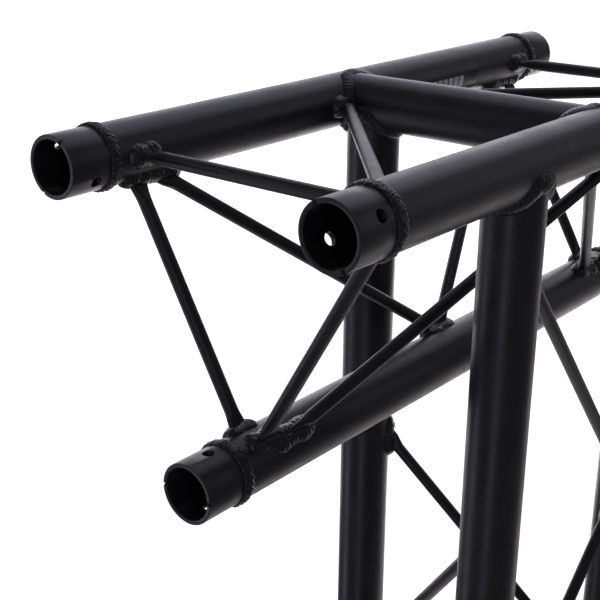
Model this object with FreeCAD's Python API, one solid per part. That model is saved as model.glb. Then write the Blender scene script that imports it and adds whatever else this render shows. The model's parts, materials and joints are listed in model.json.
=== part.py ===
import FreeCAD, Part
import math
import os

# Lighting truss T-piece: a triangular truss, apex down, with a triangular leg welded below
# its middle.  Welded aluminium tube, nine female end sockets, round lacing braces.
# Frame: X along the through truss, Y across it, Z up.  The origin is the middle of the
# bounding box's bottom face, level with the mouths of the three leg sockets.

V = FreeCAD.Vector

# Driving dimensions, in millimetres
CHORD_OD = 35.0
CHORD_WALL = 1.6
CHORD_SPACING = 185.0       # between chord axes, the same on all three sides of the triangle
ARM_SPAN = 500.0            # from the socket mouths at one end to those at the other
OVERALL_HEIGHT = 500.0      # from the leg's socket mouths to the top of the top chords

SOCKET_COLLAR = 30.0        # length that shows outside the chord, same diameter as the chord
SOCKET_SPIGOT = 25.0        # length that is hidden inside the chord
SPIGOT_CLEARANCE = 0.1      # on the radius
SOCKET_BORE_R = 14.8
SOCKET_BORE_DEPTH = 40.0    # from the mouth to the shoulder
SOCKET_BACK_R = 12.0        # smaller bore behind the shoulder
PIN_HOLE_R = 3.4
PIN_HOLE_SETBACK = 17.0     # from the mouth to the pin hole's axis
NOTCH_WIDTH = 2.4
NOTCH_DEPTH = 1.5

BRACE_OD = 8.0
BRACE_WALL = 1.0
FLAT_WIDTH = 12.0           # pressed brace end, across the face of the truss
FLAT_THICKNESS = 4.0
FLAT_LENGTH = 1.5           # pressed stretch outside the chord, on the brace's centre line
FLARE_LENGTH = 12.0         # from the pressed section to the full round tube

RING_WELD_WIDTH = 7.0
RING_WELD_HEIGHT = 1.5
SADDLE_WELD_LEG = 2.4
SADDLE_WELD_LAP = 2.0       # how far a saddle bead laps past the axis of the tube it sits on
BRACE_WELD_LEG = 2.6

LABEL_START = 39.0          # along the back chord
LABEL_LENGTH = 100.0
LABEL_THICKNESS = 0.25
LABEL_ARC = 80.0            # degrees round the tube
LABEL_MIDDLE = 190.0        # degrees, from +Y towards +Z

# Worked out from the driving dimensions
CHORD_R = CHORD_OD / 2
BRACE_R = BRACE_OD / 2
TRIANGLE_HEIGHT = CHORD_SPACING * math.sqrt(3) / 2
HALF_SPACING = CHORD_SPACING / 2
TOP_Z = OVERALL_HEIGHT - CHORD_R
ARM_END = ARM_SPAN / 2
CHORD_END = ARM_END - SOCKET_COLLAR
LEG_BACK_Y = TRIANGLE_HEIGHT - HALF_SPACING
REACH = 60.0                # longer than any tube's radius, for tools that only cut
SLIVER_VOLUME = 20.0        # cubic millimetres

X_AXIS = V(1, 0, 0)
Y_AXIS = V(0, 1, 0)
Z_AXIS = V(0, 0, 1)

# Each chord is an axis: a point where its own coordinate is zero, and a direction.
# Arm chords are measured along X from the middle, leg chords along Z from the floor.
CHORDS = {
    "top_back": (V(0, HALF_SPACING, TOP_Z), X_AXIS),
    "top_front": (V(0, -HALF_SPACING, TOP_Z), X_AXIS),
    "bottom": (V(0, 0, TOP_Z - TRIANGLE_HEIGHT), X_AXIS),
    "leg_back": (V(0, LEG_BACK_Y, 0), Z_AXIS),
    "leg_left": (V(-HALF_SPACING, -HALF_SPACING, 0), Z_AXIS),
    "leg_right": (V(HALF_SPACING, -HALF_SPACING, 0), Z_AXIS),
}
ARM_CHORDS = ("top_back", "top_front", "bottom")
LEG_CHORDS = ("leg_back", "leg_left", "leg_right")

# Lacing.  Each brace runs between two chord axes: chord, coordinate, offset out of the
# face of the truss, then the same for its other end.
END_BRACE = 199.0           # end frames of the two arms, from the middle
LEG_END_BRACE = 44.5        # end frame of the leg, above the floor
CROSSING_OFFSET = 4.1       # moves two braces apart where they cross in the front face
BRACES = {
    "left_end_brace_top": ("top_back", -END_BRACE, 0, "top_front", -END_BRACE, 0),
    "left_end_brace_back": ("top_back", -END_BRACE, 0, "bottom", -END_BRACE, 0),
    "left_end_brace_front": ("top_front", -END_BRACE, 0, "bottom", -END_BRACE, 0),
    "right_end_brace_top": ("top_back", END_BRACE, 0, "top_front", END_BRACE, 0),
    "right_end_brace_back": ("top_back", END_BRACE, 0, "bottom", END_BRACE, 0),
    "right_end_brace_front": ("top_front", END_BRACE, 0, "bottom", END_BRACE, 0),
    "left_diagonal_top": ("top_back", 0, 0, "top_front", -205, 0),
    "left_diagonal_back": ("top_back", -202, 0, "bottom", 17, 0),
    "long_diagonal_front": ("bottom", -203.5, CROSSING_OFFSET,
                            "top_front", 85.5, CROSSING_OFFSET),
    "right_diagonal_top": ("top_back", 0, 0, "top_front", 195, 0),
    "right_diagonal_back": ("bottom", -22.5, 0, "top_back", 201, 0),
    "right_diagonal_front": ("top_front", 3, -CROSSING_OFFSET - 1, "bottom", 194, 0),
    "leg_end_brace_front": ("leg_left", LEG_END_BRACE, 0, "leg_right", LEG_END_BRACE, 0),
    "leg_end_brace_left": ("leg_left", LEG_END_BRACE, 0, "leg_back", LEG_END_BRACE, 0),
    "leg_end_brace_right": ("leg_right", LEG_END_BRACE, 0, "leg_back", LEG_END_BRACE, 0),
    "leg_upper_diagonal_front": ("leg_left", 443, 0, "leg_right", 220.5, 0),
    "leg_lower_diagonal_front": ("leg_right", 217.5, 0, "leg_left", 36.5, 0),
    "leg_diagonal_right": ("leg_back", 259.5, 0, "leg_right", 36.5, 0),
    "leg_diagonal_left": ("leg_left", 259.5, 0, "leg_back", 36.5, 0),
}


def chord_point(chord, along):
    """Point on a chord's axis at the given coordinate."""
    origin, direction = CHORDS[chord]
    return origin + direction * along


def rod(start, end, radius):
    """Solid round bar between two points."""
    span = end - start
    return Part.makeCylinder(radius, span.Length, start, span)


def tube(start, end, outer_r, wall):
    """Open tube between two points."""
    return rod(start, end, outer_r).cut(rod(start, end, outer_r - wall))


def chord_range(chord):
    """Coordinates of the two ends of a chord tube, past its cope where it has one."""
    if chord in ARM_CHORDS:
        return -CHORD_END, CHORD_END
    return SOCKET_COLLAR, TOP_Z


def chord_rod(chord, radius, lap=0.0):
    """Solid bar along the whole of a chord tube; lap lengthens its coped end."""
    low, high = chord_range(chord)
    return rod(chord_point(chord, low), chord_point(chord, high + lap), radius)


def cross_rod(radius, lap=0.0):
    """Solid bar along the cross tube, lap past each of the two top chord axes."""
    past = Y_AXIS * lap
    return rod(chord_point("top_front", 0) - past, chord_point("top_back", 0) + past, radius)


def cut_all(shape, cutters):
    """Cut a shape by every cutter whose box reaches it."""
    for cutter in cutters:
        if shape.BoundBox.intersect(cutter.BoundBox):
            shape = shape.cut(cutter)
    return shape


def largest_solid(shape):
    """The main solid that a cut leaves, without loose slivers."""
    return max(shape.Solids, key=lambda solid: solid.Volume)


def without_slivers(shape):
    """Every solid that a cut leaves, apart from loose slivers."""
    return Part.makeCompound([solid for solid in shape.Solids if solid.Volume > SLIVER_VOLUME])


def arm_chord(chord):
    """Plain tube from socket to socket."""
    low, high = chord_range(chord)
    return tube(chord_point(chord, low), chord_point(chord, high), CHORD_R, CHORD_WALL)


def cross_tube():
    """Short tube between the top chords, coped onto both."""
    body = tube(chord_point("top_front", 0), chord_point("top_back", 0), CHORD_R, CHORD_WALL)
    body = cut_all(body, [chord_rod("top_front", CHORD_R), chord_rod("top_back", CHORD_R)])
    return largest_solid(body)


def leg_chord(chord):
    """Upright tube, coped under the top front chord, or under the cross tube at the back."""
    low, high = chord_range(chord)
    body = tube(chord_point(chord, low), chord_point(chord, high), CHORD_R, CHORD_WALL)
    overhead = [chord_rod("top_front", CHORD_R), chord_rod("top_back", CHORD_R)]
    body = cut_all(body, overhead + [cross_rod(CHORD_R)])
    return largest_solid(body)


def centroid_direction(chord):
    """Unit vector from a chord axis to the middle of its triangle, across the chord."""
    group = ARM_CHORDS if chord in ARM_CHORDS else LEG_CHORDS
    middle = V(0, 0, 0)
    for name in group:
        middle = middle + CHORDS[name][0] * (1 / 3)
    inward = middle - CHORDS[chord][0]
    inward.normalize()
    return inward


def end_socket(chord, mouth, outward):
    """Female coupler: collar, spigot, stepped bore, cross pin hole and two mouth notches."""
    axis = CHORDS[chord][1]
    out = axis * outward
    face = chord_point(chord, mouth)
    shoulder = face - out * SOCKET_COLLAR
    back = shoulder - out * SOCKET_SPIGOT
    spigot_r = CHORD_R - CHORD_WALL - SPIGOT_CLEARANCE
    body = rod(face, shoulder, CHORD_R).fuse(rod(shoulder, back, spigot_r))
    body = body.removeSplitter()
    body = body.cut(rod(face, face - out * SOCKET_BORE_DEPTH, SOCKET_BORE_R))
    body = body.cut(rod(face, back, SOCKET_BACK_R))
    inward = centroid_direction(chord)
    pin_at = face - out * PIN_HOLE_SETBACK
    body = body.cut(rod(pin_at - inward * REACH, pin_at + inward * REACH, PIN_HOLE_R))
    sideways = axis.cross(inward)
    for side in (-1, 1):
        body = body.cut(mouth_notch(face, out, sideways * side, inward))
    return body


def mouth_notch(face, out, radial, tangent):
    """Triangular prism that cuts one V into the rim of a socket's mouth."""
    half = tangent * (NOTCH_WIDTH / 2)
    start = face + radial * (SOCKET_BORE_R - 1)
    points = [start - half, start + half, start - out * NOTCH_DEPTH, start - half]
    outline = Part.Face(Part.makePolygon(points))
    return outline.extrude(radial * (CHORD_R - SOCKET_BORE_R + 2))


def ring_weld(chord, along):
    """Convex bead round the joint between a chord and its socket's collar."""
    origin, axis = CHORDS[chord]
    centre = chord_point(chord, along)
    radial = centroid_direction(chord)
    start = centre + radial * CHORD_R - axis * (RING_WELD_WIDTH / 2)
    crown = centre + radial * (CHORD_R + RING_WELD_HEIGHT)
    end = centre + radial * CHORD_R + axis * (RING_WELD_WIDTH / 2)
    outline = Part.Wire([Part.Arc(start, crown, end).toShape(),
                         Part.LineSegment(end, start).toShape()])
    return Part.Face(outline).revolve(origin, axis, 360).Solids[0]


def face_normal(chord_a, chord_b):
    """Unit vector out of the face of the truss that two chords span."""
    normal = CHORDS[chord_a][1].cross(CHORDS[chord_b][0] - CHORDS[chord_a][0])
    normal.normalize()
    if normal.dot(centroid_direction(chord_a)) > 0:
        normal = normal * -1
    return normal


def brace_axis(spec):
    """The two ends of a brace's centre line, offsets included, and its face's normal."""
    chord_a, along_a, out_a, chord_b, along_b, out_b = spec
    normal = face_normal(chord_a, chord_b)
    start = chord_point(chord_a, along_a) + normal * out_a
    end = chord_point(chord_b, along_b) + normal * out_b
    return start, end, normal


def flat_distance(start, end, chord):
    """Distance along a brace from a chord's axis to the end of the pressed stretch."""
    direction = end - start
    direction.normalize()
    axis = CHORDS[chord][1]
    return CHORD_R / direction.cross(axis).Length + FLAT_LENGTH


def section(centre, along, wide, half_wide, half_thick):
    """Elliptical outline across a brace; wide is the direction of its long axis."""
    if abs(half_wide - half_thick) < 1e-6:
        curve = Part.Circle(centre, along, half_wide)
        curve.XAxis = wide
        return Part.Wire(curve.toShape())
    thick = along.cross(wide)
    curve = Part.Ellipse(centre + wide * half_wide, centre + thick * half_thick, centre)
    return Part.Wire(curve.toShape())


def pressed_end(start, end, normal, chord, extra=0.0):
    """Solid flattened end of a brace, from inside the chord to where it is round again."""
    along = end - start
    along.normalize()
    wide = normal.cross(along)
    wide.normalize()
    reach = flat_distance(start, end, chord)
    half_wide = FLAT_WIDTH / 2 + extra
    half_thick = FLAT_THICKNESS / 2 + extra
    inner = section(start + along * (reach - CHORD_R * 0.7), along, wide, half_wide, half_thick)
    outer = section(start + along * reach, along, wide, half_wide, half_thick)
    flat = Part.makeLoft([inner, outer], True, True)
    round_end = section(start + along * (reach + FLARE_LENGTH), along, wide,
                        BRACE_R + extra, BRACE_R + extra)
    flare = Part.makeLoft([outer, round_end], True, True)
    return flat, flare


def brace(spec, neighbours):
    """Round tube with both ends pressed flat and coped onto what they are welded to."""
    start, end, normal = brace_axis(spec)
    along = end - start
    along.normalize()
    first = start + along * (flat_distance(start, end, spec[0]) + FLARE_LENGTH)
    last = end - along * (flat_distance(start, end, spec[3]) + FLARE_LENGTH)
    body = tube(first, last, BRACE_R, BRACE_WALL)
    pieces = pressed_end(start, end, normal, spec[0]) + pressed_end(end, start, normal, spec[3])
    body = body.multiFuse(list(pieces))
    return largest_solid(cut_all(body, neighbours))


def saddle_weld(branch, main, solids):
    """Bead in the corner between two tubes: near both surfaces and outside both."""
    return without_slivers(cut_all(branch.common(main), solids))


def brace_weld(start, end, normal, chord, solids):
    """Bead round the foot of a brace on its chord."""
    flat, flare = pressed_end(start, end, normal, chord, BRACE_WELD_LEG)
    bead = flat.fuse(flare).common(chord_rod(chord, CHORD_R + BRACE_WELD_LEG))
    return largest_solid(cut_all(bead, solids))


def type_label():
    """Thin blank foil label wrapped onto the side of the back chord."""
    start = chord_point("top_back", LABEL_START)
    end = chord_point("top_back", LABEL_START + LABEL_LENGTH)
    shell = tube(start, end, CHORD_R + LABEL_THICKNESS, LABEL_THICKNESS)
    corners = [start]
    for side in (-0.5, 0.5):
        angle = math.radians(LABEL_MIDDLE + side * LABEL_ARC)
        corners.append(start + V(0, math.cos(angle), math.sin(angle)) * REACH)
    wedge = Part.Face(Part.makePolygon(corners + [start])).extrude(end - start)
    return shell.common(wedge).Solids[0]


def write(name, shape):
    """Check a node's solids and export them under the node's name."""
    for solid in shape.Solids:
        if not solid.isValid():
            raise ValueError("invalid solid in " + name)
    shape.exportStep("parts/" + name + ".step")
    print(name, len(shape.Solids), round(shape.Volume, 1))


def build():
    os.makedirs("parts", exist_ok=True)
    nodes = {}
    nodes["top_chord_back"] = arm_chord("top_back")
    nodes["top_chord_front"] = arm_chord("top_front")
    nodes["bottom_chord"] = arm_chord("bottom")
    nodes["cross_tube"] = cross_tube()
    for chord in LEG_CHORDS:
        nodes["leg_chord_" + chord[4:]] = leg_chord(chord)

    for chord in ARM_CHORDS:
        for side, outward in (("left", -1), ("right", 1)):
            name = "socket_" + side + "_" + chord
            nodes[name] = end_socket(chord, outward * ARM_END, outward)
    for chord in LEG_CHORDS:
        nodes["socket_" + chord] = end_socket(chord, 0.0, -1)

    # Braces stand on the outside of the tubes, and a later brace is coped onto an earlier one
    tubes = [chord_rod(chord, CHORD_R) for chord in ARM_CHORDS]
    tubes += [chord_rod(chord, CHORD_R, 2 * SADDLE_WELD_LAP) for chord in LEG_CHORDS]
    tubes.append(cross_rod(CHORD_R, 2 * SADDLE_WELD_LAP))
    braces = []
    for name, spec in BRACES.items():
        nodes[name] = brace(spec, tubes + braces)
        braces.append(nodes[name])

    # Weld beads, each cut clear of the tubes, the braces and the beads before it
    solids = tubes + braces
    for group, chords, ends in (("left_arm", ARM_CHORDS, -CHORD_END),
                                ("right_arm", ARM_CHORDS, CHORD_END),
                                ("leg", LEG_CHORDS, SOCKET_COLLAR)):
        beads = [ring_weld(chord, ends) for chord in chords]
        nodes["socket_welds_" + group] = Part.makeCompound(beads)
        solids = solids + beads

    bead_r = CHORD_R + SADDLE_WELD_LEG
    cross_bead = cross_rod(bead_r, SADDLE_WELD_LAP)
    front_main = chord_rod("top_front", bead_r)
    back_main = chord_rod("top_back", bead_r)
    leg_left, leg_right, leg_back = (chord_rod(chord, bead_r, SADDLE_WELD_LAP)
                                     for chord in ("leg_left", "leg_right", "leg_back"))
    saddles = (
        ("cross_weld_front", cross_bead, front_main),
        ("cross_weld_back", cross_bead, back_main),
        ("leg_weld_left", leg_left, front_main),
        ("leg_weld_right", leg_right, front_main),
        ("leg_weld_back", leg_back, cross_bead.fuse(back_main)),
    )
    for name, branch, main in saddles:
        nodes[name] = saddle_weld(branch, main, solids)
        solids = solids + [nodes[name]]

    groups = {"left_arm": [], "right_arm": [], "leg": []}
    for name, spec in BRACES.items():
        start, end, normal = brace_axis(spec)
        for near, far, chord in ((start, end, spec[0]), (end, start, spec[3])):
            bead = brace_weld(near, far, normal, chord, solids)
            solids = solids + [bead]
            if chord in LEG_CHORDS:
                groups["leg"].append(bead)
            elif bead.CenterOfMass.x < 0:
                groups["left_arm"].append(bead)
            else:
                groups["right_arm"].append(bead)
    for group, beads in groups.items():
        nodes["brace_welds_" + group] = Part.makeCompound(beads)

    nodes["type_label"] = type_label()

    for name, shape in nodes.items():
        write(name, shape)
    print(len(nodes), "nodes")


build()
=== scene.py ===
import json
import math

import bmesh
import bpy
from mathutils import Matrix, Vector


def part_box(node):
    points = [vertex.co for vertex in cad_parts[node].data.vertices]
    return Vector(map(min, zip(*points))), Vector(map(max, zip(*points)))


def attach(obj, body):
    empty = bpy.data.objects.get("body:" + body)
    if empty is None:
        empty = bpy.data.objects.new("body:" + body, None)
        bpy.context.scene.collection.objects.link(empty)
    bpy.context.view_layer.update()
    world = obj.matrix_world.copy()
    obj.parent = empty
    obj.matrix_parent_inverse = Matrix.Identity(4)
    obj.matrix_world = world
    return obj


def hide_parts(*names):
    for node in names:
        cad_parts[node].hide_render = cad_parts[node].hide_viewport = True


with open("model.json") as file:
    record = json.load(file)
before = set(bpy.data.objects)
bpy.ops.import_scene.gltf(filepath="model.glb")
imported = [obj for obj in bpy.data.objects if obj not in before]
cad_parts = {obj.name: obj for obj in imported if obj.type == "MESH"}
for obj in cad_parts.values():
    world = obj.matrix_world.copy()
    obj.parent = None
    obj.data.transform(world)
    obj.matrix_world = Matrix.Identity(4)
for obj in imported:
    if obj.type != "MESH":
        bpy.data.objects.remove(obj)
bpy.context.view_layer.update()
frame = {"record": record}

# ---------------------------------------------------------------------------
# The studio: a glowing white floor that only the camera sees, a broad lamp behind the
# truss, one overhead, one below, a weak one on the right and two tall strips that draw
# long highlights down the tubes.
# ---------------------------------------------------------------------------
scene = bpy.context.scene
scene.view_settings.view_transform = "Standard"

CAMERA_PLACE = (-0.6291, -0.3905, 0.6352)
CAMERA_HEADING = math.radians(40.53)
CAMERA_DIP = math.radians(21.58)
camera_data = bpy.data.cameras.new("camera")
camera_data.sensor_width = 36.0
camera_data.lens = 70.8
camera_data.shift_x = 0.029
camera_data.shift_y = 0.033
camera_data.clip_start = 0.05
camera = bpy.data.objects.new("camera", camera_data)
camera.location = CAMERA_PLACE
camera.rotation_euler = (math.pi / 2 - CAMERA_DIP, 0.0, CAMERA_HEADING - math.pi / 2)
scene.collection.objects.link(camera)
scene.camera = camera

WORLD_LIGHT = 0.12
WORLD_SEEN = 1.1
world = bpy.data.worlds.new("studio")
scene.world = world
world.use_nodes = True
surroundings = world.node_tree.nodes["Background"]
surroundings.inputs["Color"].default_value = (0.95, 0.95, 1.0, 1.0)
glow = world.node_tree.nodes.new("ShaderNodeMapRange")
glow.inputs["To Min"].default_value = WORLD_LIGHT
glow.inputs["To Max"].default_value = WORLD_SEEN
seen = world.node_tree.nodes.new("ShaderNodeLightPath")
world.node_tree.links.new(seen.outputs["Is Camera Ray"], glow.inputs["Value"])
world.node_tree.links.new(glow.outputs["Result"], surroundings.inputs["Strength"])


def softbox(name, place, aim, size, power, tint):
    """A rectangular soft lamp that the camera doesn't see."""
    lamp = bpy.data.lights.new(name, "AREA")
    lamp.shape = "RECTANGLE"
    lamp.size, lamp.size_y = size
    lamp.energy = power
    lamp.color = tint
    holder = bpy.data.objects.new(name, lamp)
    holder.location = place
    holder.rotation_euler = (Vector(aim) - Vector(place)).to_track_quat("-Z", "Y").to_euler()
    holder.visible_camera = False
    scene.collection.objects.link(holder)


TRUSS_MIDDLE = (0.0, 0.0, 0.38)
STRIP_AIM = (0.0, 0.0, -0.1)
FLOOR_MIDDLE = (0.0, 0.0, 0.0)
STRIP_SIZE = (0.5, 3.2)
COOL_WHITE = (0.78, 0.77, 1.0)
SOFT_WHITE = (0.92, 0.90, 1.0)
WARM_WHITE = (1.0, 0.90, 0.93)
softbox("lamp_overhead", (0.9, 0.5, 1.9), TRUSS_MIDDLE, (1.8, 1.8), 8.5, COOL_WHITE)
softbox("lamp_behind", (2.2, 1.9, 0.0), FLOOR_MIDDLE, (5.0, 3.6), 105.0, SOFT_WHITE)
softbox("lamp_below", (1.2, 0.2, -1.0), TRUSS_MIDDLE, (2.2, 3.4), 21.0, WARM_WHITE)
softbox("lamp_left", (-1.3, 1.7, -0.1), STRIP_AIM, STRIP_SIZE, 9.0, COOL_WHITE)
softbox("lamp_front", (-2.2, -0.8, -0.1), STRIP_AIM, STRIP_SIZE, 6.5, COOL_WHITE)
softbox("lamp_right", (1.5, -1.4, 1.2), TRUSS_MIDDLE, (1.6, 1.2), 2.0, COOL_WHITE)


def mesh_of(form, name):
    """The finished mesh of a form that was being built."""
    mesh = bpy.data.meshes.new(name)
    form.to_mesh(mesh)
    form.free()
    return mesh


floor_form = bmesh.new()
bmesh.ops.create_circle(floor_form, cap_ends=True, segments=96, radius=14.0)
floor_mesh = mesh_of(floor_form, "floor")
floor = bpy.data.objects.new("floor", floor_mesh)
scene.collection.objects.link(floor)
floor_paint = bpy.data.materials.new("floor_paint")
floor_paint.use_nodes = True
floor_shader = floor_paint.node_tree.nodes["Principled BSDF"]
floor_shader.inputs["Base Color"].default_value = (0.6, 0.6, 0.6, 1.0)
floor_shader.inputs["Roughness"].default_value = 0.9
floor_shader.inputs["Emission Color"].default_value = (1.0, 1.0, 1.0, 1.0)
floor_shader.inputs["Emission Strength"].default_value = 1.0
floor.visible_diffuse = False
floor.visible_glossy = False
floor.visible_shadow = False
floor_mesh.materials.append(floor_paint)

# ---------------------------------------------------------------------------
# The three long chords: extruded aluminium tube, sawn square, welded to a socket at
# each end and finished with a satin black powder coat that covers the whole truss.
# ---------------------------------------------------------------------------
MM = 0.001
TURN = 2.0 * math.pi
CHORD_WALL = 1.6 * MM
ROUND_STEPS = 96
LONG_STEPS = 24
COAT_BLACK = (0.0105, 0.0100, 0.0130, 1.0)
COAT_FADED = (0.0170, 0.0160, 0.0200, 1.0)
COAT_ROUGHNESS = 0.40
DUST_GREY = (0.10, 0.10, 0.11, 1.0)
RUBBED_GREY = (0.085, 0.085, 0.095, 1.0)
GRAIN_DEPTH = 0.08 * MM
RUB_REACH = 0.6 * MM
SHARP_ANGLE = math.radians(32)


def add_node(tree, kind, **settings):
    """A new node with its plain settings made."""
    node = tree.nodes.new(kind)
    for name, value in settings.items():
        setattr(node, name, value)
    return node


def feed(tree, socket, source):
    """Join a source to a socket, or set the socket where the source is a plain value."""
    if isinstance(source, bpy.types.NodeSocket):
        tree.links.new(source, socket)
    else:
        socket.default_value = source


def sum_up(tree, operation, *sources):
    """A math node's result."""
    node = add_node(tree, "ShaderNodeMath", operation=operation)
    for socket, source in zip(node.inputs, sources):
        feed(tree, socket, source)
    return node.outputs[0]


def spread(tree, source, from_low, from_high, to_low, to_high):
    """A value moved from one range to another, smoothly and without overshoot."""
    node = add_node(tree, "ShaderNodeMapRange", interpolation_type="SMOOTHSTEP")
    for name, value in (("Value", source), ("From Min", from_low), ("From Max", from_high),
                        ("To Min", to_low), ("To Max", to_high)):
        feed(tree, node.inputs[name], value)
    return node.outputs["Result"]


def blend_colour(tree, share, low, high):
    """One colour fading into another."""
    node = add_node(tree, "ShaderNodeMix", data_type="RGBA")
    feed(tree, node.inputs["Factor"], share)
    feed(tree, node.inputs["A"], low)
    feed(tree, node.inputs["B"], high)
    return node.outputs["Result"]


def noise(tree, place, scale, detail=2.0, rough=0.5):
    """A cloud of soft noise, from 0 to 1."""
    node = add_node(tree, "ShaderNodeTexNoise")
    for name, value in (("Vector", place), ("Scale", scale), ("Detail", detail),
                        ("Roughness", rough)):
        feed(tree, node.inputs[name], value)
    return node.outputs["Fac"]


def new_group(name, takes, gives):
    """An empty shader node group with named sockets."""
    group = bpy.data.node_groups.new(name, "ShaderNodeTree")
    for title, kind in takes:
        group.interface.new_socket(title, in_out="INPUT", socket_type=kind)
    for title, kind in gives:
        group.interface.new_socket(title, in_out="OUTPUT", socket_type=kind)
    inside = group.nodes.new("NodeGroupInput").outputs
    outside = group.nodes.new("NodeGroupOutput").inputs
    return group, inside, outside


FLOAT = "NodeSocketFloat"
COLOUR = "NodeSocketColor"

# Powder coat: a fine orange-peel grain, a slow unevenness in how it flowed out, and a
# scatter of pale dust that clings to it.
FLOW_SCALE = 38.0
CLOUD_SCALE = 9.0
SPECK_SCALE = 420.0
SPECK_COVER = 0.55
SPECK_DULLNESS = 0.25
GRAIN_DULLNESS = 0.10
FLOW_RELIEF = 0.4
coat_group, given, result = new_group(
    "powder_coat",
    (("Black", COLOUR), ("Faded", COLOUR), ("Dust", COLOUR), ("Gloss", FLOAT),
     ("Grain per metre", FLOAT), ("Dust share", FLOAT)),
    (("Colour", COLOUR), ("Roughness", FLOAT), ("Height", FLOAT)))
place = add_node(coat_group, "ShaderNodeTexCoord").outputs["Object"]
peel = noise(coat_group, place, given["Grain per metre"], 3.0, 0.55)
flow = noise(coat_group, place, FLOW_SCALE, 3.0, 0.6)
cloud = noise(coat_group, place, CLOUD_SCALE)
specks = add_node(coat_group, "ShaderNodeTexVoronoi", feature="F1")
feed(coat_group, specks.inputs["Vector"], place)
feed(coat_group, specks.inputs["Scale"], SPECK_SCALE)
speck_size = sum_up(coat_group, "MULTIPLY", cloud, given["Dust share"])
speck = sum_up(coat_group, "LESS_THAN", specks.outputs["Distance"], speck_size)
coat = blend_colour(coat_group, spread(coat_group, flow, 0.3, 0.7, 0.0, 1.0),
                    given["Black"], given["Faded"])
cover = sum_up(coat_group, "MULTIPLY", speck, SPECK_COVER)
feed(coat_group, result["Colour"], blend_colour(coat_group, cover, coat, given["Dust"]))
uneven = spread(coat_group, flow, 0.25, 0.75, -0.04, 0.05)
dusty = sum_up(coat_group, "MULTIPLY", speck, SPECK_DULLNESS)
grainy = spread(coat_group, peel, 0.3, 0.7, -GRAIN_DULLNESS, GRAIN_DULLNESS)
rough = sum_up(coat_group, "ADD", sum_up(coat_group, "ADD", given["Gloss"], uneven),
               sum_up(coat_group, "ADD", dusty, grainy))
feed(coat_group, result["Roughness"], rough)
feed(coat_group, result["Height"],
     sum_up(coat_group, "ADD", peel, sum_up(coat_group, "MULTIPLY", flow, FLOW_RELIEF)))

# Rubbed edges: where two faces meet the coat is thin and polished by handling.
PATCH_SCALE = 150.0
rub_group, given, result = new_group(
    "rubbed_edges", (("Reach", FLOAT), ("Strength", FLOAT)), (("Mask", FLOAT),))
rounded = add_node(rub_group, "ShaderNodeBevel", samples=4)
feed(rub_group, rounded.inputs["Radius"], given["Reach"])
facing = add_node(rub_group, "ShaderNodeVectorMath", operation="DOT_PRODUCT")
feed(rub_group, facing.inputs[0], rounded.outputs["Normal"])
feed(rub_group, facing.inputs[1], add_node(rub_group, "ShaderNodeNewGeometry").outputs["Normal"])
bend = spread(rub_group, facing.outputs["Value"], 0.99, 0.80, 0.0, 1.0)
place = add_node(rub_group, "ShaderNodeTexCoord").outputs["Object"]
patchy = noise(rub_group, place, PATCH_SCALE, 4.0)
patchy = spread(rub_group, patchy, 0.42, 0.62, 0.15, 1.0)
feed(rub_group, result["Mask"],
     sum_up(rub_group, "MULTIPLY", sum_up(rub_group, "MULTIPLY", bend, patchy),
            given["Strength"]))


def coat_material(name, grain, gloss, bump, dust, rub):
    """Black powder coat with its own grain, gloss, dust and edge wear."""
    material = bpy.data.materials.new(name)
    material.use_nodes = True
    tree = material.node_tree
    shader = tree.nodes["Principled BSDF"]
    group = add_node(tree, "ShaderNodeGroup", node_tree=coat_group)
    for title, value in (("Black", COAT_BLACK), ("Faded", COAT_FADED),
                         ("Dust", DUST_GREY), ("Gloss", gloss),
                         ("Grain per metre", grain), ("Dust share", dust)):
        group.inputs[title].default_value = value
    edges = add_node(tree, "ShaderNodeGroup", node_tree=rub_group)
    edges.inputs["Reach"].default_value = RUB_REACH
    edges.inputs["Strength"].default_value = rub
    worn = blend_colour(tree, edges.outputs["Mask"], group.outputs["Colour"], RUBBED_GREY)
    feed(tree, shader.inputs["Base Color"], worn)
    feed(tree, shader.inputs["Roughness"], group.outputs["Roughness"])
    relief = add_node(tree, "ShaderNodeBump")
    relief.inputs["Strength"].default_value = bump
    relief.inputs["Distance"].default_value = GRAIN_DEPTH
    feed(tree, relief.inputs["Height"], group.outputs["Height"])
    feed(tree, shader.inputs["Normal"], relief.outputs["Normal"])
    shader.inputs["IOR"].default_value = 1.5
    return material


chord_coat = coat_material("coat_on_tube", 1400.0, COAT_ROUGHNESS - 0.02, 0.9, 0.06, 0.3)


def read_line(node):
    """A straight tube's centre line, ends and outer radius, read from its CAD box."""
    low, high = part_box(node)
    size = high - low
    middle = (low + high) / 2
    long_way = max(range(3), key=lambda way: size[way])
    thick_way = (long_way + 1) % 3
    direction = Vector([1.0 if way == long_way else 0.0 for way in range(3)])
    origin = middle - direction * middle[long_way]
    return origin, direction, low[long_way], high[long_way], size[thick_way] / 2


LINES = {node: read_line(node) for node in (
    "top_chord_back", "top_chord_front", "bottom_chord", "cross_tube",
    "leg_chord_back", "leg_chord_left", "leg_chord_right")}


def shown(name, mesh, material):
    """An object for a finished mesh: smooth, with its real edges kept sharp."""
    for face in mesh.polygons:
        face.use_smooth = True
    mesh.set_sharp_from_angle(angle=SHARP_ANGLE)
    mesh.materials.clear()
    mesh.materials.append(material)
    piece = bpy.data.objects.new(name, mesh)
    scene.collection.objects.link(piece)
    return piece


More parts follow.
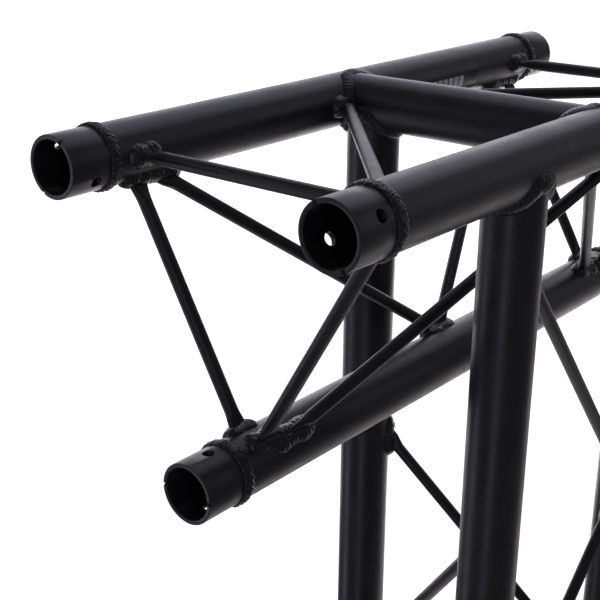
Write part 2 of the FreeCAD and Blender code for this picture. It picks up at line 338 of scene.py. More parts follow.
def skin(name, rings, material, wrap=False):
    """A closed shell through rings of points: wrapped onto itself, or capped at both ends."""
    form = bmesh.new()
    rows = [[form.verts.new(point) for point in points] for points in rings]
    pairs = list(zip(rows, rows[1:]))
    if wrap:
        pairs.append((rows[-1], rows[0]))
    else:
        form.faces.new(rows[0])
        form.faces.new(rows[-1])
    for near, far in pairs:
        for step, point in enumerate(near):
            after = (step + 1) % len(near)
            form.faces.new((point, near[after], far[after], far[step]))
    bmesh.ops.recalc_face_normals(form, faces=form.faces)
    return shown(name, mesh_of(form, name), material)


def square_to(direction):
    """Two unit directions square to a line and to each other."""
    side = direction.orthogonal().normalized()
    return side, direction.cross(side)


def square_cut(place):
    """An end sawn square across the tube."""
    return lambda offset: place


def tube(name, node, start_cut, end_cut, material):
    """A tube with a real wall, each end cut as a function of the point round its axis."""
    origin, direction, _, _, radius = LINES[node]
    side, other = square_to(direction)
    rings = []
    for wall_radius, forward in ((radius, True), (radius - CHORD_WALL, False)):
        shares = [step / LONG_STEPS for step in range(LONG_STEPS + 1)]
        for share in shares if forward else reversed(shares):
            points = []
            for step in range(ROUND_STEPS):
                angle = TURN * step / ROUND_STEPS
                offset = (side * math.cos(angle) + other * math.sin(angle)) * wall_radius
                start = start_cut(offset)
                reach = start + (end_cut(offset) - start) * share
                points.append(origin + offset + direction * reach)
            rings.append(points)
    piece = skin(name, rings, material, wrap=True)
    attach(piece, "root")
    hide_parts(node)


for node in ("top_chord_back", "top_chord_front", "bottom_chord"):
    _, _, low_end, high_end, _ = LINES[node]
    tube(node + "_tube", node, square_cut(low_end), square_cut(high_end), chord_coat)

# ---------------------------------------------------------------------------
# The cross tube: the same tube as the chords, set between the two top chords at the
# middle of the truss.  Both ends are fish-mouthed to sit on the chords' sides.
# ---------------------------------------------------------------------------
CHORD_RADIUS = LINES["top_chord_back"][4]
BACK_Y = LINES["top_chord_back"][0].y
FRONT_Y = LINES["top_chord_front"][0].y
TOP_Z = LINES["top_chord_back"][0].z


def sink(across):
    """How far a round chord stands out from its axis, at a height or width across it."""
    return math.sqrt(max(CHORD_RADIUS ** 2 - across ** 2, 0.0))


tube("cross_tube_between_chords", "cross_tube",
     lambda offset: FRONT_Y + sink(offset.z),
     lambda offset: BACK_Y - sink(offset.z), chord_coat)

# ---------------------------------------------------------------------------
# The leg's three uprights: two fish-mouthed under the front top chord, and one under the
# cross tube, where it also meets the side of the back top chord.
# ---------------------------------------------------------------------------
LEG_FOOT = LINES["leg_chord_left"][2]
LEG_BACK_Y = LINES["leg_chord_back"][0].y


def under_back_joint(offset):
    """Height of the underside above the back upright, at a point round its axis."""
    height = TOP_Z - sink(offset.x)
    from_chord = LEG_BACK_Y + offset.y - BACK_Y
    if abs(from_chord) < CHORD_RADIUS:
        height = min(height, TOP_Z - sink(from_chord))
    return height


for node in ("leg_chord_left", "leg_chord_right"):
    tube(node + "_tube", node, square_cut(LEG_FOOT),
         lambda offset: TOP_Z - sink(offset.y), chord_coat)
tube("leg_chord_back_tube", "leg_chord_back", square_cut(LEG_FOOT), under_back_joint, chord_coat)

# ---------------------------------------------------------------------------
# Nine female end sockets: turned aluminium, a collar as wide as the tube and a spigot
# pushed inside it, with a stepped bore, a cross hole for the pin and two mouth notches.
# ---------------------------------------------------------------------------
SPIGOT_LENGTH = 25.0 * MM
SPIGOT_GAP = 0.1 * MM
BACK_BORE = 12.0 * MM
LIP = 0.5 * MM
NOTCH_HALF = 1.2 * MM
NOTCH_DEPTH = 1.5 * MM
NOTCH_OVERSHOOT = 0.2 * MM
NOTCH_REACH = 20.0 * MM
EDGE_BREAK = 0.22 * MM
EDGE_ANGLE = math.radians(40)
mounts = {mount["name"]: mount for mount in frame["record"]["mounts"]}
socket_coat = coat_material("coat_on_socket", 1900.0, COAT_ROUGHNESS - 0.02, 0.45, 0.08, 1.0)


def solid_from(mesh):
    """A throwaway object that holds a mesh, for one boolean cut."""
    piece = bpy.data.objects.new("cutter", mesh)
    scene.collection.objects.link(piece)
    return piece


def taken_away(mesh, cutters):
    """The mesh less the cutters, with its edges broken by a small bevel."""
    body = solid_from(mesh)
    holders = []
    for cutter in cutters:
        holder = solid_from(cutter)
        holders.append(holder)
        cut = body.modifiers.new("cut", "BOOLEAN")
        cut.operation = "DIFFERENCE"
        cut.solver = "EXACT"
        cut.object = holder
    edge = body.modifiers.new("edge", "BEVEL")
    edge.width = EDGE_BREAK
    edge.segments = 2
    edge.limit_method = "ANGLE"
    edge.angle_limit = EDGE_ANGLE
    view = bpy.context.evaluated_depsgraph_get()
    result_mesh = bpy.data.meshes.new_from_object(body.evaluated_get(view))
    for holder in holders + [body]:
        bpy.data.objects.remove(holder)
    return result_mesh


def turned(profile):
    """A closed shell turned about X from a closed list of (x, radius)."""
    form = bmesh.new()
    rows = []
    for reach, radius in profile:
        row = []
        for step in range(ROUND_STEPS):
            angle = TURN * step / ROUND_STEPS
            row.append(form.verts.new((reach, radius * math.cos(angle), radius * math.sin(angle))))
        rows.append(row)
    for near, far in zip(rows, rows[1:] + rows[:1]):
        for step, point in enumerate(near):
            after = (step + 1) % ROUND_STEPS
            form.faces.new((point, near[after], far[after], far[step]))
    bmesh.ops.recalc_face_normals(form, faces=form.faces)
    return mesh_of(form, "turned")


def drill(radius, length, middle):
    """A round cutter that lies along Y."""
    form = bmesh.new()
    bmesh.ops.create_cone(form, cap_ends=True, segments=40, radius1=radius, radius2=radius,
                          depth=length)
    bmesh.ops.rotate(form, verts=form.verts, matrix=Matrix.Rotation(math.pi / 2, 3, "X"))
    bmesh.ops.translate(form, verts=form.verts, vec=middle)
    return mesh_of(form, "drill")


def notch_file():
    """A three-cornered cutter that lies along Z across both sides of the mouth."""
    form = bmesh.new()
    corners = ((NOTCH_OVERSHOOT, -NOTCH_HALF), (NOTCH_OVERSHOOT, NOTCH_HALF),
               (-NOTCH_DEPTH, 0.0))
    ends = []
    for height in (-NOTCH_REACH, NOTCH_REACH):
        ends.append([form.verts.new((reach, across, height)) for reach, across in corners])
    form.faces.new(ends[0])
    form.faces.new(ends[1])
    for step in range(3):
        after = (step + 1) % 3
        form.faces.new((ends[0][step], ends[0][after], ends[1][after], ends[1][step]))
    bmesh.ops.recalc_face_normals(form, faces=form.faces)
    return mesh_of(form, "notch")


def mouth_of(bore):
    """The middle of a socket's mouth."""
    half = bore["dims"]["length_mm"] * MM / 2
    return Vector(bore["pos_m"]) + Vector(bore["axis"]) * half


collar = mouth_of(mounts["socket_bore_right_bottom"]).x - LINES["bottom_chord"][3]


def socket_mesh(bore, pin):
    """The socket with its mouth at the origin, facing +X, and its pin hole along Y."""
    bore_radius = bore["dims"]["r_mm"] * MM
    bore_depth = bore["dims"]["length_mm"] * MM
    pin_setback = (mouth_of(bore) - Vector(pin["pos_m"])).dot(Vector(bore["axis"]))
    outside = CHORD_RADIUS
    spigot = CHORD_RADIUS - CHORD_WALL - SPIGOT_GAP
    profile = [(-collar, outside), (-collar / 2, outside), (-LIP, outside),
               (-0.3 * LIP, outside - 0.12 * LIP), (-0.12 * LIP, outside - 0.3 * LIP),
               (0.0, outside - LIP), (0.0, bore_radius + LIP),
               (-0.3 * LIP, bore_radius + 0.3 * LIP), (-LIP, bore_radius),
               (-bore_depth / 2, bore_radius), (-bore_depth, bore_radius),
               (-bore_depth, BACK_BORE), (-collar - SPIGOT_LENGTH, BACK_BORE),
               (-collar - SPIGOT_LENGTH, spigot), (-collar, spigot)]
    pin_drill = drill(pin["dims"]["r_mm"] * MM, 4 * outside, (-pin_setback, 0.0, 0.0))
    return taken_away(turned(profile), [pin_drill, notch_file()])


SOCKETS = [name[len("socket_bore_"):] for name in mounts if name.startswith("socket_bore_")]
socket_pattern = socket_mesh(mounts["socket_bore_" + SOCKETS[0]], mounts["pin_hole_" + SOCKETS[0]])
for place_name in SOCKETS:
    bore = mounts["socket_bore_" + place_name]
    out = Vector(bore["axis"])
    along_pin = Vector(mounts["pin_hole_" + place_name]["axis"])
    mesh = socket_pattern.copy()
    turn = Matrix((out, along_pin, out.cross(along_pin))).transposed().to_4x4()
    mesh.transform(Matrix.Translation(mouth_of(bore)) @ turn)
    piece = shown("end_socket_" + place_name, mesh, socket_coat)
    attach(piece, "root")
    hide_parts("socket_" + place_name)

# ---------------------------------------------------------------------------
# The lacing: thin round aluminium tube, its ends pressed flat in a tool that leaves a
# shallow groove, then cut to length and welded to the sides of the chords.
# ---------------------------------------------------------------------------
BRACE_RADIUS = 4.0 * MM
PRESSED_HALF_WIDTH = 6.0 * MM
PRESSED_HALF_THICKNESS = 2.0 * MM
PRESSED_LENGTH = 1.5 * MM
FLARE_LENGTH = 12.0 * MM
BRACE_STEPS = 36
FLARE_STEPS = 14
STRAIGHT_STEPS = 10
BITE = 0.4 * MM
DEEPEST = 12.0 * MM
PRESSED_SQUARENESS = 0.62
GROOVE_DEPTH = 0.38
GROOVE_WIDTH = 0.42
END = 199.0
LEG_END = 44.5
CROSSING = 4.1
CHORDS = {"A": "top_chord_back", "B": "top_chord_front", "C": "bottom_chord",
          "L1": "leg_chord_back", "L2": "leg_chord_left", "L3": "leg_chord_right"}
# node, then for each end: chord, place along the chord and offset out of the face, in mm
BRACES = (
    ("left_end_brace_top", "A", -END, 0, "B", -END, 0),
    ("left_end_brace_back", "A", -END, 0, "C", -END, 0),
    ("left_end_brace_front", "B", -END, 0, "C", -END, 0),
    ("right_end_brace_top", "A", END, 0, "B", END, 0),
    ("right_end_brace_back", "A", END, 0, "C", END, 0),
    ("right_end_brace_front", "B", END, 0, "C", END, 0),
    ("left_diagonal_top", "A", 0, 0, "B", -205, 0),
    ("left_diagonal_back", "A", -202, 0, "C", 17, 0),
    ("long_diagonal_front", "C", -203.5, CROSSING, "B", 85.5, CROSSING),
    ("right_diagonal_top", "A", 0, 0, "B", 195, 0),
    ("right_diagonal_back", "C", -22.5, 0, "A", 201, 0),
    ("right_diagonal_front", "B", 3, -CROSSING - 1, "C", 194, 0),
    ("leg_end_brace_front", "L2", LEG_END, 0, "L3", LEG_END, 0),
    ("leg_end_brace_left", "L2", LEG_END, 0, "L1", LEG_END, 0),
    ("leg_end_brace_right", "L3", LEG_END, 0, "L1", LEG_END, 0),
    ("leg_upper_diagonal_front", "L2", 443, 0, "L3", 220.5, 0),
    ("leg_lower_diagonal_front", "L3", 217.5, 0, "L2", 36.5, 0),
    ("leg_diagonal_right", "L1", 259.5, 0, "L3", 36.5, 0),
    ("leg_diagonal_left", "L2", 259.5, 0, "L1", 36.5, 0),
)
brace_coat = coat_material("coat_on_brace", 2200.0, COAT_ROUGHNESS + 0.02, 0.6, 0.06, 0.4)


def truss_middle(chord):
    """The centre line of the triangle of chords that a chord belongs to."""
    group = ("A", "B", "C") if chord in "ABC" else ("L1", "L2", "L3")
    total = Vector((0.0, 0.0, 0.0))
    for member in group:
        total += LINES[CHORDS[member]][0]
    return total / len(group)


def brace_line(spec):
    """A brace's two axis ends and the normal of the face of the truss that it lies in."""
    _, near_chord, near_place, near_out, far_chord, far_place, far_out = spec
    near_origin, direction = LINES[CHORDS[near_chord]][:2]
    far_origin = LINES[CHORDS[far_chord]][0]
    normal = direction.cross(far_origin - near_origin).normalized()
    if normal.dot(truss_middle(near_chord) - near_origin) > 0:
        normal = -normal
    start = near_origin + direction * near_place * MM + normal * near_out * MM
    end = far_origin + direction * far_place * MM + normal * far_out * MM
    return start, end, normal


def reach_to_chord(point, along, chord, radius):
    """How far along a line from a point near a chord's axis the line leaves the chord."""
    origin, direction = LINES[CHORDS[chord]][:2]
    away = point - origin
    away -= direction * away.dot(direction)
    slope = along - direction * along.dot(direction)
    a = slope.dot(slope)
    b = away.dot(slope)
    c = away.dot(away) - radius * radius
    return (math.sqrt(max(b * b - a * c, 0.0)) - b) / a


def pressed_outline(roundness, grow=0.0):
    """Points across a brace: 0 is pressed flat with a groove down the middle, 1 is round."""
    half_width = PRESSED_HALF_WIDTH + (BRACE_RADIUS - PRESSED_HALF_WIDTH) * roundness + grow
    half_depth = PRESSED_HALF_THICKNESS + (BRACE_RADIUS - PRESSED_HALF_THICKNESS) * roundness + grow
    squareness = PRESSED_SQUARENESS + (1.0 - PRESSED_SQUARENESS) * roundness
    points = []
    for step in range(BRACE_STEPS):
        angle = TURN * step / BRACE_STEPS
        across, deep = math.cos(angle), math.sin(angle)
        across = math.copysign(abs(across) ** (0.5 + 0.5 * squareness), across)
        deep = math.copysign(abs(deep) ** squareness, deep)
        dip = math.exp(-(across / GROOVE_WIDTH) ** 2)
        groove = 1.0 - GROOVE_DEPTH * (1.0 - roundness) * dip
        points.append((across * half_width, deep * half_depth * groove))
    return points


def ease(share):
    """Smooth step from 0 to 1."""
    share = min(max(share, 0.0), 1.0)
    return share * share * (3.0 - 2.0 * share)


def brace_rings(spec):
    """The rings of points that a brace's skin goes through, coped at both ends."""
    _, near_chord, _, _, far_chord, _, _ = spec
    start, end, normal = brace_line(spec)
    along = (end - start).normalized()
    wide = normal.cross(along).normalized()
    bite_radius = CHORD_RADIUS - BITE
    near_mid = reach_to_chord(start, along, near_chord, CHORD_RADIUS)
    far_mid = reach_to_chord(end, -along, far_chord, CHORD_RADIUS)
    length = (end - start).length

    def ring(place):
        from_end = min(place - near_mid, length - far_mid - place)
        roundness = ease((from_end - PRESSED_LENGTH) / FLARE_LENGTH)
        points = []
        for across, deep in pressed_outline(roundness):
            base = start + wide * across + normal * deep
            first = reach_to_chord(base, along, near_chord, bite_radius)
            far_base = base + along * length
            last = length - reach_to_chord(far_base, -along, far_chord, bite_radius)
            points.append(base + along * min(max(place, first), last))
        return points

    flare_reach = PRESSED_LENGTH + FLARE_LENGTH
    places = []
    for step in range(FLARE_STEPS + 1):
        places.append(near_mid - DEEPEST + (DEEPEST + flare_reach) * step / FLARE_STEPS)
    run_start = near_mid + flare_reach
    run_end = length - far_mid - flare_reach
    for step in range(1, STRAIGHT_STEPS):
        places.append(run_start + (run_end - run_start) * step / STRAIGHT_STEPS)
    for step in range(FLARE_STEPS + 1):
        places.append(run_end + (flare_reach + DEEPEST) * step / FLARE_STEPS)
    return [ring(place) for place in places]


for spec in BRACES:
    node = spec[0]
    piece = skin(node + "_tube", brace_rings(spec), brace_coat)
    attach(piece, "root")
    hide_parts(node)

# ---------------------------------------------------------------------------
# The ring welds: one bead round each joint between a chord and its socket, laid by hand
# with a filler rod, so each dip of the rod leaves a slanted scallop in the bead.
# ---------------------------------------------------------------------------
RING_BEAD_WIDTH = 7.3 * MM
RING_BEAD_HEIGHT = 1.45 * MM
RING_POINTS = 120
SEAM_STEP = 0.36 * MM
PROFILE_POINTS = 20
SWAY_SCALE = 90.0
SWAY_SHARE = 0.45
THINNEST_GIRTH = 0.78
WOBBLE_SCALE = 200.0
WOBBLE_SHARE = 0.8
LUMP_SCALE = 300.0
LUMP_SHARE = 0.9
RIPPLE_BOW = 0.45
SCALLOP_POWER = 0.75
SCALLOP_MIDDLE = 0.62
weld_coat = coat_material("coat_on_weld", 900.0, COAT_ROUGHNESS - 0.08, 0.15, 0.05, 0.08)

bead_tree = bpy.data.node_groups.new("weld_bead", "GeometryNodeTree")
bead_tree.interface.new_socket("Geometry", in_out="OUTPUT", socket_type="NodeSocketGeometry")
BEAD_INPUTS = {}
for title, kind in (("Seam", "NodeSocketGeometry"), ("Bead width", FLOAT),
                    ("Bead height", FLOAT), ("Ripple pitch", FLOAT), ("Ripple depth", FLOAT),
                    ("Slant", FLOAT), ("Seed", FLOAT), ("Coat", "NodeSocketMaterial")):
    made = bead_tree.interface.new_socket(title, in_out="INPUT", socket_type=kind)
    BEAD_INPUTS[title] = made.identifier
given = bead_tree.nodes.new("NodeGroupInput").outputs


def captured(tree, geometry, value, kind):
    """A field's value fixed to the points that it is read on, and the geometry after that."""
    node = add_node(tree, "GeometryNodeCaptureAttribute", domain="POINT")
    item = node.capture_items.new(kind, "kept")
    feed(tree, node.inputs["Geometry"], geometry)
    feed(tree, node.inputs[item.name], value)
    return node.outputs["Geometry"], node.outputs[item.name]


def scaled(tree, vector, amount):
    """A vector made longer or shorter."""
    node = add_node(tree, "ShaderNodeVectorMath", operation="SCALE")
    feed(tree, node.inputs[0], vector)
    feed(tree, node.inputs["Scale"], amount)
    return node.outputs["Vector"]


to_curve = add_node(bead_tree, "GeometryNodeMeshToCurve")
feed(bead_tree, to_curve.inputs["Mesh"], given["Seam"])
resample = add_node(bead_tree, "GeometryNodeResampleCurve", mode="LENGTH")
feed(bead_tree, resample.inputs["Curve"], to_curve.outputs["Curve"])
feed(bead_tree, resample.inputs["Length"], SEAM_STEP)
outward = add_node(bead_tree, "GeometryNodeInputNamedAttribute", data_type="FLOAT_VECTOR")
outward.inputs["Name"].default_value = "outward"
stand = add_node(bead_tree, "GeometryNodeSetCurveNormal", mode="FREE")
feed(bead_tree, stand.inputs["Curve"], resample.outputs["Curve"])
feed(bead_tree, stand.inputs["Normal"], outward.outputs["Attribute"])

# How many ripples fit round the seam, and how many have passed at each point
travelled = add_node(bead_tree, "GeometryNodeSplineParameter").outputs["Length"]
whole = add_node(bead_tree, "GeometryNodeSplineLength").outputs["Length"]
count = sum_up(bead_tree, "ROUND", sum_up(bead_tree, "DIVIDE", whole, given["Ripple pitch"]))
passed = sum_up(bead_tree, "MULTIPLY", sum_up(bead_tree, "DIVIDE", travelled, whole), count)
rail, passed = captured(bead_tree, stand.outputs["Curve"], passed, "FLOAT")

circle = add_node(bead_tree, "GeometryNodeCurvePrimitiveCircle", mode="RADIUS")
circle.inputs["Resolution"].default_value = PROFILE_POINTS
circle.inputs["Radius"].default_value = 1.0
position = add_node(bead_tree, "GeometryNodeInputPosition").outputs["Position"]
profile, around = captured(bead_tree, circle.outputs["Curve"], position, "VECTOR")
shape = add_node(bead_tree, "ShaderNodeCombineXYZ")
feed(bead_tree, shape.inputs["X"], given["Bead height"])
feed(bead_tree, shape.inputs["Y"], sum_up(bead_tree, "MULTIPLY", given["Bead width"], 0.5))
feed(bead_tree, shape.inputs["Z"], 1.0)
flatten = add_node(bead_tree, "GeometryNodeTransform")
feed(bead_tree, flatten.inputs["Geometry"], profile)
feed(bead_tree, flatten.inputs["Scale"], shape.outputs["Vector"])

# The hand is never quite steady: the bead is a little wider and narrower along the seam
seeded = add_node(bead_tree, "ShaderNodeVectorMath", operation="ADD")
feed(bead_tree, seeded.inputs[0], position)
seed_shift = add_node(bead_tree, "ShaderNodeCombineXYZ")
feed(bead_tree, seed_shift.inputs["X"], given["Seed"])
feed(bead_tree, seeded.inputs[1], seed_shift.outputs["Vector"])
sway = noise(bead_tree, seeded.outputs["Vector"], SWAY_SCALE, 1.0)
girth = sum_up(bead_tree, "ADD", sum_up(bead_tree, "MULTIPLY", sway, SWAY_SHARE),
               THINNEST_GIRTH)
sweep = add_node(bead_tree, "GeometryNodeCurveToMesh")
feed(bead_tree, sweep.inputs["Curve"], rail)
feed(bead_tree, sweep.inputs["Profile Curve"], flatten.outputs["Geometry"])
feed(bead_tree, sweep.inputs["Scale"], girth)

# Each ripple is a scallop that bows and slants across the bead, on its outer side only
spot = add_node(bead_tree, "ShaderNodeSeparateXYZ")
feed(bead_tree, spot.inputs["Vector"], around)
upward = spot.outputs["X"]
sideways = spot.outputs["Y"]
wobble = noise(bead_tree, seeded.outputs["Vector"], WOBBLE_SCALE, 0.0)
bow = sum_up(bead_tree, "MULTIPLY", sum_up(bead_tree, "MULTIPLY", sideways, sideways),
             RIPPLE_BOW)
phase = sum_up(bead_tree, "ADD", passed, sum_up(bead_tree, "MULTIPLY", sideways, given["Slant"]))
phase = sum_up(bead_tree, "ADD", phase, bow)
phase = sum_up(bead_tree, "ADD", phase, sum_up(bead_tree, "MULTIPLY", wobble, WOBBLE_SHARE))
wave = sum_up(bead_tree, "ABSOLUTE",
              sum_up(bead_tree, "SINE", sum_up(bead_tree, "MULTIPLY", phase, math.pi)))
scallop = sum_up(bead_tree, "SUBTRACT", sum_up(bead_tree, "POWER", wave, SCALLOP_POWER),
                 SCALLOP_MIDDLE)
lumps = noise(bead_tree, seeded.outputs["Vector"], LUMP_SCALE, 0.0)
lumps = sum_up(bead_tree, "MULTIPLY", sum_up(bead_tree, "SUBTRACT", lumps, 0.5), LUMP_SHARE)
swell = sum_up(bead_tree, "MULTIPLY", sum_up(bead_tree, "ADD", scallop, lumps),
               given["Ripple depth"])
proud = spread(bead_tree, upward, -0.25, 0.45, 0.0, 1.0)
swell = sum_up(bead_tree, "MULTIPLY", swell, proud)
ripple = add_node(bead_tree, "GeometryNodeSetPosition")
feed(bead_tree, ripple.inputs["Geometry"], sweep.outputs["Mesh"])
feed(bead_tree, ripple.inputs["Offset"],
     scaled(bead_tree, add_node(bead_tree, "GeometryNodeInputNormal").outputs["Normal"], swell))
smooth = add_node(bead_tree, "GeometryNodeSetShadeSmooth")
feed(bead_tree, smooth.inputs["Geometry"], ripple.outputs["Geometry"])
real = add_node(bead_tree, "GeometryNodeRealizeInstances")
feed(bead_tree, real.inputs["Geometry"], smooth.outputs["Geometry"])
coated = add_node(bead_tree, "GeometryNodeSetMaterial")
feed(bead_tree, coated.inputs["Geometry"], real.outputs["Geometry"])
feed(bead_tree, coated.inputs["Material"], given["Coat"])
feed(bead_tree, bead_tree.nodes.new("NodeGroupOutput").inputs["Geometry"],
     coated.outputs["Geometry"])


def seam_mesh(loops):
    """Closed loops of edges, each point with the way its bead stands out of the metal."""
    points, ways, edges = [], [], []
    for loop in loops:
        first = len(points)
        for step, (point, way) in enumerate(loop):
            points.append(point)
            ways.extend(way)
            edges.append((first + step, first + (step + 1) % len(loop)))
    mesh = bpy.data.meshes.new("seam")
    mesh.from_pydata(points, edges, [])
    mesh.attributes.new("outward", "FLOAT_VECTOR", "POINT").data.foreach_set("vector", ways)
    return mesh


def lay_beads(name, node, loops, **sizes):
    """Weld beads along the seams, as one plain mesh that stands for a CAD node of beads."""
    seam = bpy.data.objects.new("seam", seam_mesh(loops))
    scene.collection.objects.link(seam)
    welder = seam.modifiers.new("bead", "NODES")
    welder.node_group = bead_tree
    for title, value in sizes.items():
        welder[BEAD_INPUTS[title.replace("_", " ").capitalize()]] = value
    welder[BEAD_INPUTS["Coat"]] = weld_coat
    view = bpy.context.evaluated_depsgraph_get()
    mesh = bpy.data.meshes.new_from_object(seam.evaluated_get(view))
    bpy.data.objects.remove(seam)
    mesh.name = name
    piece = bpy.data.objects.new(name, mesh)
    scene.collection.objects.link(piece)
    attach(piece, "root")
    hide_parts(node)


def ring_seam(chord, place):
    """The circle round a chord where its socket begins."""
    origin, direction, _, _, radius = LINES[CHORDS[chord]]
    side, other = square_to(direction)
    loop = []
    for step in range(RING_POINTS):
        angle = TURN * step / RING_POINTS
        way = side * math.cos(angle) + other * math.sin(angle)
        loop.append((origin + direction * place + way * radius, way))
    return loop


for group, chords, end in (("left_arm", ("A", "B", "C"), 2), ("right_arm", ("A", "B", "C"), 3),
                           ("leg", ("L1", "L2", "L3"), 2)):
    lay_beads("ring_beads_" + group, "socket_welds_" + group,
              [ring_seam(chord, LINES[CHORDS[chord]][end]) for chord in chords],
              bead_width=RING_BEAD_WIDTH, bead_height=RING_BEAD_HEIGHT,
              ripple_pitch=3.5 * MM, ripple_depth=1.0 * MM, slant=1.2, seed=0.37 * end)

# ---------------------------------------------------------------------------
# The saddle welds: heavy fillets in the corners where the cross tube and the three
# uprights meet the tubes that they are fish-mouthed onto.
# ---------------------------------------------------------------------------
SADDLE_POINTS = 160
SADDLE_EASE = 0.33
CROSS_SINK = 2.7 * MM
LEG_SINK = 1.6 * MM


def rounded_sink(across):
    """The sink of a round chord, eased where its curve would turn a sharp corner."""
    return math.sqrt(max(CHORD_RADIUS ** 2 - across ** 2, (SADDLE_EASE * CHORD_RADIUS) ** 2))


def away_from_front(point):
    """Straight out of the front top chord."""
    return Vector((0.0, point.y - FRONT_Y, point.z - TOP_Z)).normalized()


def away_from_back(point):
    """Straight out of the back top chord."""
    return Vector((0.0, point.y - BACK_Y, point.z - TOP_Z)).normalized()


def away_from_cross(point):
    """Straight out of the cross tube."""
    return Vector((point.x, 0.0, point.z - TOP_Z)).normalized()


def saddle_seam(node, cut, away_from_main, sunk):
    """The line round a branch tube where it meets the tube that it is coped onto."""
    origin, direction, _, _, radius = LINES[node]
    side, other = square_to(direction)
    loop = []
    for step in range(SADDLE_POINTS):
        angle = TURN * step / SADDLE_POINTS
        away = side * math.cos(angle) + other * math.sin(angle)
        point = origin + away * radius + direction * cut(away * radius)
        main = away_from_main(point)
        way = (away + main).normalized()
        flatness = max(away.dot(main), 0.0)
        loop.append((point - way * sunk * flatness ** 2, way))
    return loop


def under_back_joint_seam(offset):
    """The seam's height round the back upright, below the cross tube and the back chord."""
    height = TOP_Z - rounded_sink(offset.x)
    from_chord = LEG_BACK_Y + offset.y - BACK_Y
    if abs(from_chord) < CHORD_RADIUS:
        height = min(height, TOP_Z - rounded_sink(from_chord))
    return height


def away_from_back_joint(point):
    """Out of the cross tube, or out of the back chord where that comes lower."""
    across_chord = abs(point.y - BACK_Y)
    if across_chord < CHORD_RADIUS and rounded_sink(across_chord) > rounded_sink(point.x):
        return away_from_back(point)
    return away_from_cross(point)


for name, node, branch, cut, away, sunk in (
        ("cross_bead_front", "cross_weld_front", "cross_tube",
         lambda offset: FRONT_Y + rounded_sink(offset.z), away_from_front, CROSS_SINK),
        ("cross_bead_back", "cross_weld_back", "cross_tube",
         lambda offset: BACK_Y - rounded_sink(offset.z), away_from_back, CROSS_SINK),
        ("leg_bead_left", "leg_weld_left", "leg_chord_left",
         lambda offset: TOP_Z - rounded_sink(offset.y), away_from_front, LEG_SINK),
        ("leg_bead_right", "leg_weld_right", "leg_chord_right",
         lambda offset: TOP_Z - rounded_sink(offset.y), away_from_front, LEG_SINK),
        ("leg_bead_back", "leg_weld_back", "leg_chord_back",
         under_back_joint_seam, away_from_back_joint, LEG_SINK)):
    lay_beads(name, node, [saddle_seam(branch, cut, away, sunk)],
              bead_width=11.0 * MM, bead_height=4.0 * MM, ripple_pitch=2.0 * MM,
              ripple_depth=0.5 * MM, slant=0.35, seed=1.0)

# ---------------------------------------------------------------------------
# The brace welds: a short bead all round each pressed end, wide enough to close over
# the corner, so every foot sits in a lump of weld metal.
# ---------------------------------------------------------------------------
FOOT_BEAD_WIDTH = 10.0 * MM
FOOT_BEAD_HEIGHT = 3.2 * MM
FOOT_CLEARANCE = 1.9 * MM


def foot_seam(point, other_end, normal, chord):
    """The line round a brace's pressed end where it meets its chord."""
    origin, direction = LINES[CHORDS[chord]][:2]
    along = (other_end - point).normalized()
    wide = normal.cross(along).normalized()
    loop = []
    for across, deep in pressed_outline(0.0, grow=FOOT_CLEARANCE):
        base = point + wide * across + normal * deep
        at = base + along * reach_to_chord(base, along, chord, CHORD_RADIUS)
        away = at - origin
        away = (away - direction * away.dot(direction)).normalized()
        edge = (wide * across / PRESSED_HALF_WIDTH ** 2
                + normal * deep / PRESSED_HALF_THICKNESS ** 2).normalized()
        loop.append((at, (away + edge).normalized()))
    return loop


feet = {"left_arm": [], "right_arm": [], "leg": []}
for spec in BRACES:
    start, end, normal = brace_line(spec)
    for point, other_end, chord in ((start, end, spec[1]), (end, start, spec[4])):
        loop = foot_seam(point, other_end, normal, chord)
        if chord.startswith("L"):
            feet["leg"].append(loop)
        elif loop[0][0].x < 0:
            feet["left_arm"].append(loop)
        else:
            feet["right_arm"].append(loop)
for group, loops in feet.items():
    lay_beads("brace_beads_" + group, "brace_welds_" + group, loops,
              bead_width=FOOT_BEAD_WIDTH, bead_height=FOOT_BEAD_HEIGHT,
              ripple_pitch=3.8 * MM, ripple_depth=0.36 * MM, slant=0.1, seed=2.0)

# ---------------------------------------------------------------------------
# The type label: a thin dark glossy foil with rounded corners, wrapped onto the side of
# the back chord and stuck over the coat.  Its print is a plain row of pale blocks.
# ---------------------------------------------------------------------------
LABEL_CORNER = 5.0 * MM
BLOCKS_START = 19.5 * MM
BLOCK_PITCH = 7.0 * MM
BLOCK_LENGTH = 5.4 * MM
BLOCK_HEIGHT = 8.4 * MM
BLOCK_COUNT = 9
LABEL_MIDDLE = math.radians(190.0)
LABEL_STATIONS = 48
LABEL_ARC_STEPS = 40
LABEL_TUCK = 0.1 * MM

LABEL_HALF_ARC = math.radians(40.0)
FOIL_BLACK = (0.016, 0.014, 0.015, 1.0)
PRINT_WHITE = (0.72, 0.72, 0.74, 1.0)
WEAR_SCALE = 900.0
SMEAR_SCALE = 60.0
label_low, label_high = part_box("type_label")
LABEL_SKIN = BACK_Y - CHORD_RADIUS - label_low.y


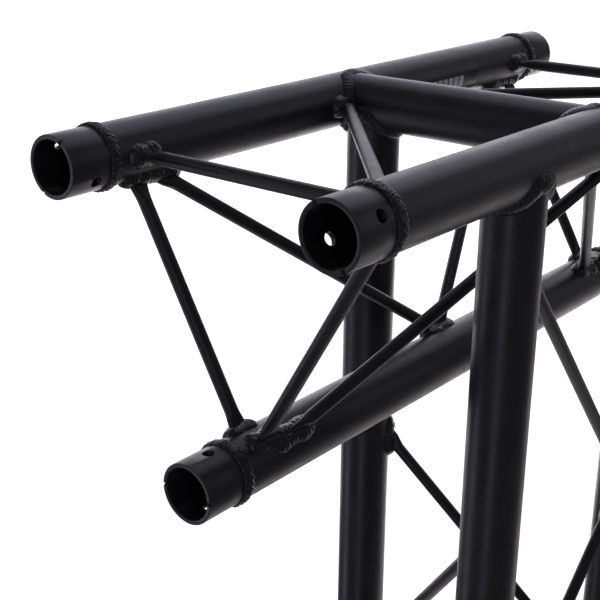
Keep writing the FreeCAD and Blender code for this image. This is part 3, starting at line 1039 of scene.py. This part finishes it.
def foil_material():
    """Dark satin foil with a row of plain printed blocks."""
    material = bpy.data.materials.new("label_foil")
    material.use_nodes = True
    tree = material.node_tree
    shader = tree.nodes["Principled BSDF"]
    spot = add_node(tree, "ShaderNodeSeparateXYZ")
    feed(tree, spot.inputs["Vector"], add_node(tree, "ShaderNodeUVMap", uv_map="wrap").outputs[0])
    from_first = sum_up(tree, "SUBTRACT", spot.outputs["X"], BLOCKS_START)
    row = sum_up(tree, "MODULO", from_first, BLOCK_PITCH)
    block = sum_up(tree, "LESS_THAN", row, BLOCK_LENGTH)
    tall = sum_up(tree, "LESS_THAN", sum_up(tree, "ABSOLUTE", spot.outputs["Y"]),
                  BLOCK_HEIGHT / 2)
    begun = sum_up(tree, "GREATER_THAN", from_first, 0.0)
    ended = sum_up(tree, "LESS_THAN", from_first, BLOCK_COUNT * BLOCK_PITCH)
    printed = sum_up(tree, "MULTIPLY", sum_up(tree, "MULTIPLY", block, tall),
                     sum_up(tree, "MULTIPLY", begun, ended))
    place = add_node(tree, "ShaderNodeTexCoord").outputs["Object"]
    wear = spread(tree, noise(tree, place, WEAR_SCALE, 3.0), 0.35, 0.6, 0.72, 1.0)
    inked = sum_up(tree, "MULTIPLY", printed, wear)
    feed(tree, shader.inputs["Base Color"], blend_colour(tree, inked, FOIL_BLACK, PRINT_WHITE))
    smear = noise(tree, place, SMEAR_SCALE, 3.0)
    feed(tree, shader.inputs["Roughness"], spread(tree, smear, 0.3, 0.7, 0.24, 0.34))
    return material


def label_ring(along):
    """The foil's outline across the chord at one place along it."""
    from_end = min(along - label_low.x, label_high.x - along)
    bite = LABEL_CORNER - math.sqrt(max(LABEL_CORNER ** 2
                                        - max(LABEL_CORNER - from_end, 0.0) ** 2, 0.0))
    outer = CHORD_RADIUS + LABEL_SKIN
    half = LABEL_HALF_ARC - bite / outer
    points = []
    for radius, order in ((outer, 1), (CHORD_RADIUS - LABEL_TUCK, -1)):
        for step in range(-LABEL_ARC_STEPS // 2, LABEL_ARC_STEPS // 2 + 1):
            angle = LABEL_MIDDLE + order * half * 2 * step / LABEL_ARC_STEPS
            points.append(Vector((along, BACK_Y + radius * math.cos(angle),
                                  TOP_Z + radius * math.sin(angle))))
    return points


stations = []
for step in range(LABEL_STATIONS + 1):
    share = 0.5 - 0.5 * math.cos(math.pi * step / LABEL_STATIONS)
    stations.append(label_low.x + (label_high.x - label_low.x) * share)
label = skin("type_label_foil", [label_ring(along) for along in stations], foil_material())
wrap_map = label.data.uv_layers.new(name="wrap")
for corner in label.data.loops:
    point = label.data.vertices[corner.vertex_index].co
    turned_by = math.atan2(point.z - TOP_Z, point.y - BACK_Y) - LABEL_MIDDLE
    turned_by = (turned_by + math.pi) % TURN - math.pi
    wrap_map.data[corner.index].uv = (point.x - label_low.x, turned_by * CHORD_RADIUS)
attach(label, "root")
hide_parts("type_label")
